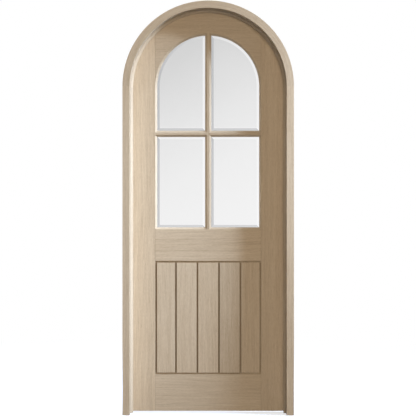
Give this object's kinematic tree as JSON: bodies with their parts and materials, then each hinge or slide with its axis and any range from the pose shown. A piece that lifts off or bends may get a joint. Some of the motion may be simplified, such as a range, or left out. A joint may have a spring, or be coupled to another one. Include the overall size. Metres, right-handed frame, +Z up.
{
  "type": "arched door and frame",
  "caption": "Round-headed oak door hung on butt hinges in a matching arched lining, with bevelled glass panes over a boarded panel; the leaf swings back from its stops.",
  "frame": {"origin": "on the floor, under the middle of the overall box: midway between the jambs and midway between the front of the lining and the back of the hinge knuckles", "axes": "+X to the right as the stop side is faced, +Y away from the viewer to the side the leaf opens to, +Z up"},
  "size_m": [0.838, 0.147, 2.027],
  "materials": {
    "oak": "satin",
    "glass": "clear, bevelled",
    "brass": "satin"
  },
  "bodies": {
    "lining": {"left_jamb": "oak", "right_jamb": "oak", "arched_head": "oak", "left_stop": "oak", "right_stop": "oak", "arched_stop": "oak", "head_dowels": "oak", "low_frame_flap": "brass", "middle_frame_flap": "brass", "high_frame_flap": "brass", "low_hinge_pin": "brass", "middle_hinge_pin": "brass", "high_hinge_pin": "brass", "frame_hinge_screws": "brass"},
    "leaf": {"hinge_stile": "oak", "lock_stile": "oak", "top_rail": "oak", "lock_rail": "oak", "bottom_rail": "oak", "board_1": "oak", "board_2": "oak", "board_3": "oak", "board_4": "oak", "board_5": "oak", "vertical_bar": "oak", "left_cross_bar": "oak", "right_cross_bar": "oak", "upper_left_pane": "glass", "upper_right_pane": "glass", "lower_left_pane": "glass", "lower_right_pane": "glass", "upper_left_bead_bottom": "oak", "upper_left_bead_side": "oak", "upper_left_bead_arch": "oak", "upper_left_bead_bar": "oak", "upper_right_bead_bottom": "oak", "upper_right_bead_side": "oak", "upper_right_bead_arch": "oak", "upper_right_bead_bar": "oak", "lower_left_bead_bottom": "oak", "lower_left_bead_top": "oak", "lower_left_bead_side": "oak", "lower_left_bead_bar": "oak", "lower_right_bead_bottom": "oak", "lower_right_bead_top": "oak", "lower_right_bead_side": "oak", "lower_right_bead_bar": "oak", "low_leaf_flap": "brass", "middle_leaf_flap": "brass", "high_leaf_flap": "brass", "leaf_hinge_screws": "brass"}
  },
  "joints": [
    {"name": "leaf_swing", "type": "hinge", "parent": "lining", "child": "leaf", "pos_m": [-0.3825, 0.067, 0.886], "axis": [0, 0, 1], "range_deg": [0, 170]}
  ]
}
